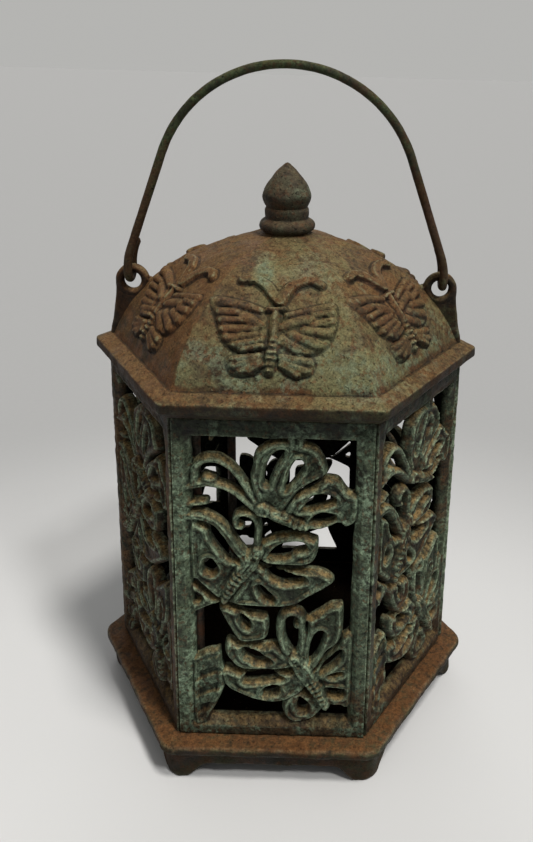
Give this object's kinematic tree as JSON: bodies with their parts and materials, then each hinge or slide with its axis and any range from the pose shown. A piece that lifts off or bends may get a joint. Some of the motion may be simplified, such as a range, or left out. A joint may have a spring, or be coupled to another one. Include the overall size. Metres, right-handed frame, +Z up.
{
  "type": "candle lantern",
  "caption": "Hexagonal cast-iron candle lantern with butterfly openwork panels, one hung as a door, a domed roof with bud finial and a swinging wire bail handle.",
  "frame": {"origin": "centre of the footprint, on the surface the lantern stands on", "axes": "+Z up; -Y out of the front panel; the handle's two ears on the X axis"},
  "size_m": [0.1576, 0.1384, 0.2654],
  "materials": {
    "base_iron": "rust-brown cast iron",
    "panel_iron": "verdigris-painted cast iron worn to rust",
    "roof_iron": "ochre and rust cast iron with green patches",
    "finial_iron": "dark brown cast iron",
    "bail_wire": "painted steel wire worn to rust",
    "fastener_steel": "dull rusted steel"
  },
  "bodies": {
    "lantern": {"base_plate": "base_iron", "panel_front": "panel_iron", "panel_front_left": "panel_iron", "panel_back_left": "panel_iron", "panel_back": "panel_iron", "panel_back_right": "panel_iron", "roof": "roof_iron", "finial": "finial_iron", "finial_stud": "fastener_steel", "finial_washer": "fastener_steel", "finial_nut": "fastener_steel", "tie_rod_right": "fastener_steel", "tie_rod_back_left": "fastener_steel", "tie_rod_front_left": "fastener_steel", "rod_washers": "fastener_steel", "rod_nuts": "fastener_steel"},
    "door": {"door_panel": "panel_iron", "door_pin_top": "fastener_steel", "door_pin_bottom": "fastener_steel"},
    "bail": {"bail_handle": "bail_wire"}
  },
  "joints": [
    {"name": "bail_swing", "type": "hinge", "parent": "lantern", "child": "bail", "pos_m": [0, 0, 0.18363], "axis": [1, 0, 0], "range_deg": [-112, 105]},
    {"name": "door_swing", "type": "hinge", "parent": "lantern", "child": "door", "pos_m": [0.06631, -0.00315, 0.082], "axis": [0, 0, 1], "range_deg": [0, 120]}
  ]
}
